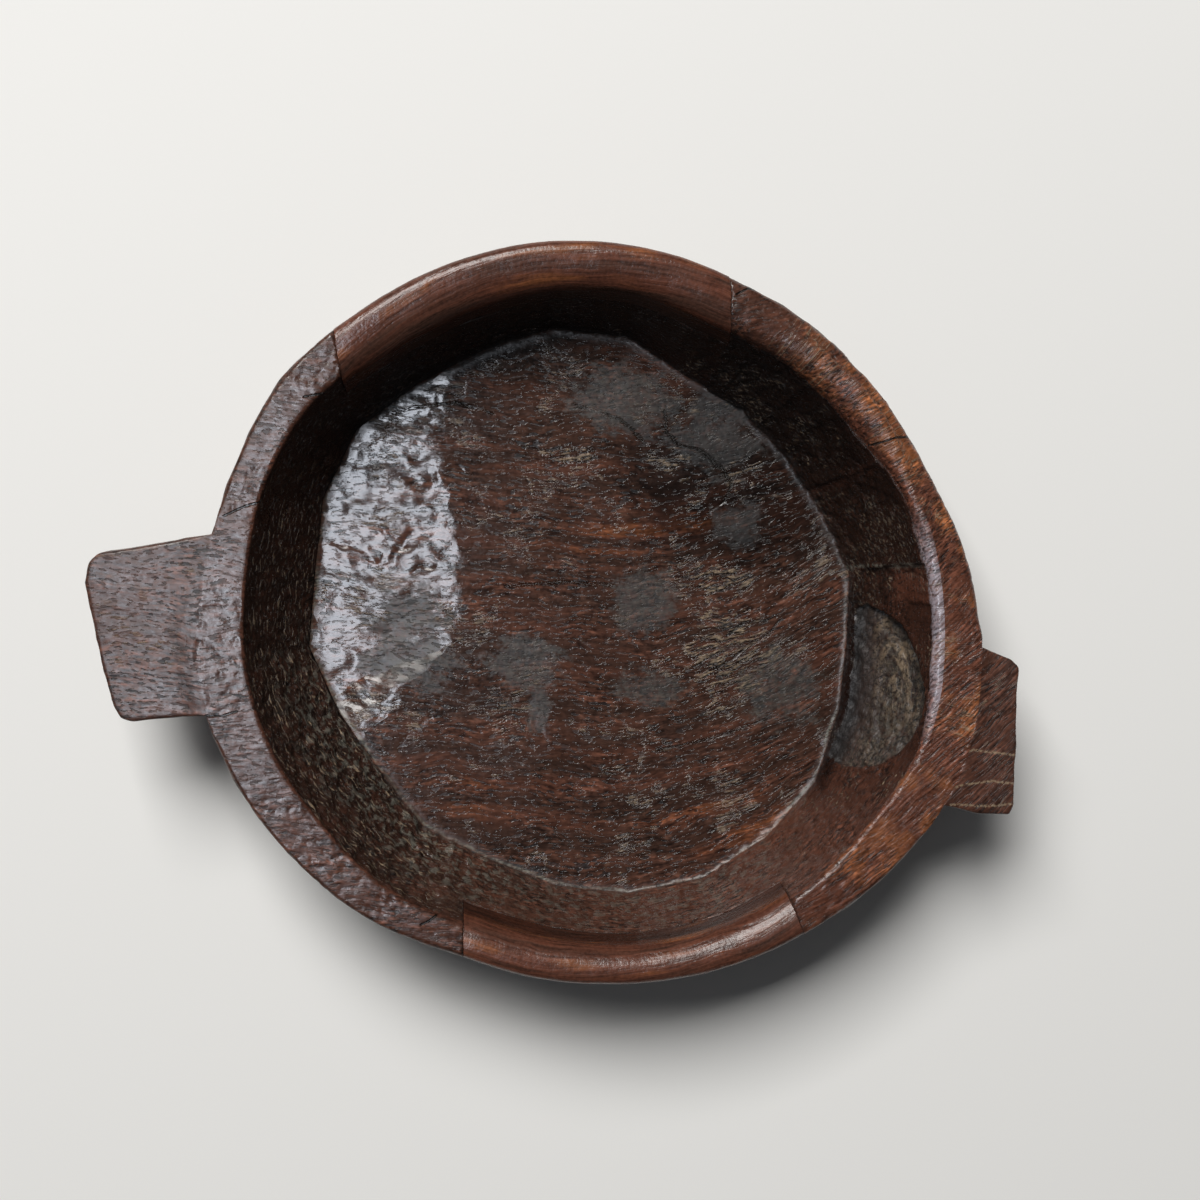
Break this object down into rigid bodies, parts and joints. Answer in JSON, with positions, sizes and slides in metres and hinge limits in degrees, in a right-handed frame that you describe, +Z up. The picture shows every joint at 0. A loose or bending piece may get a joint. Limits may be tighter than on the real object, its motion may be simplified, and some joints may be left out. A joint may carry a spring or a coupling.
{
  "type": "dough bowl",
  "caption": "Hewn round wooden dough bowl with a flat floor, two uneven lug handles and two smooth arcs of wood let into its rim.",
  "frame": {"origin": "on the surface that the bowl stands on, under the middle of its outline with the lugs", "axes": "+X along the grain from the long lug towards the short lug, +Y across the bowl towards the upper rim insert, +Z up out of the bowl"},
  "size_m": [0.62, 0.4818, 0.11],
  "materials": {
    "hewn_wood": "dark waxed hardwood, hewn, worn and pitted",
    "insert_wood": "smooth reddish dark hardwood, waxed",
    "peg_wood": "plain turned hardwood"
  },
  "bodies": {
    "root": {"bowl_body": "hewn_wood", "upper_rim_insert": "insert_wood", "lower_rim_insert": "insert_wood", "upper_rim_peg_1": "peg_wood", "upper_rim_peg_2": "peg_wood", "upper_rim_peg_3": "peg_wood", "upper_rim_peg_4": "peg_wood", "lower_rim_peg_1": "peg_wood", "lower_rim_peg_2": "peg_wood", "lower_rim_peg_3": "peg_wood"}
  },
  "joints": []
}
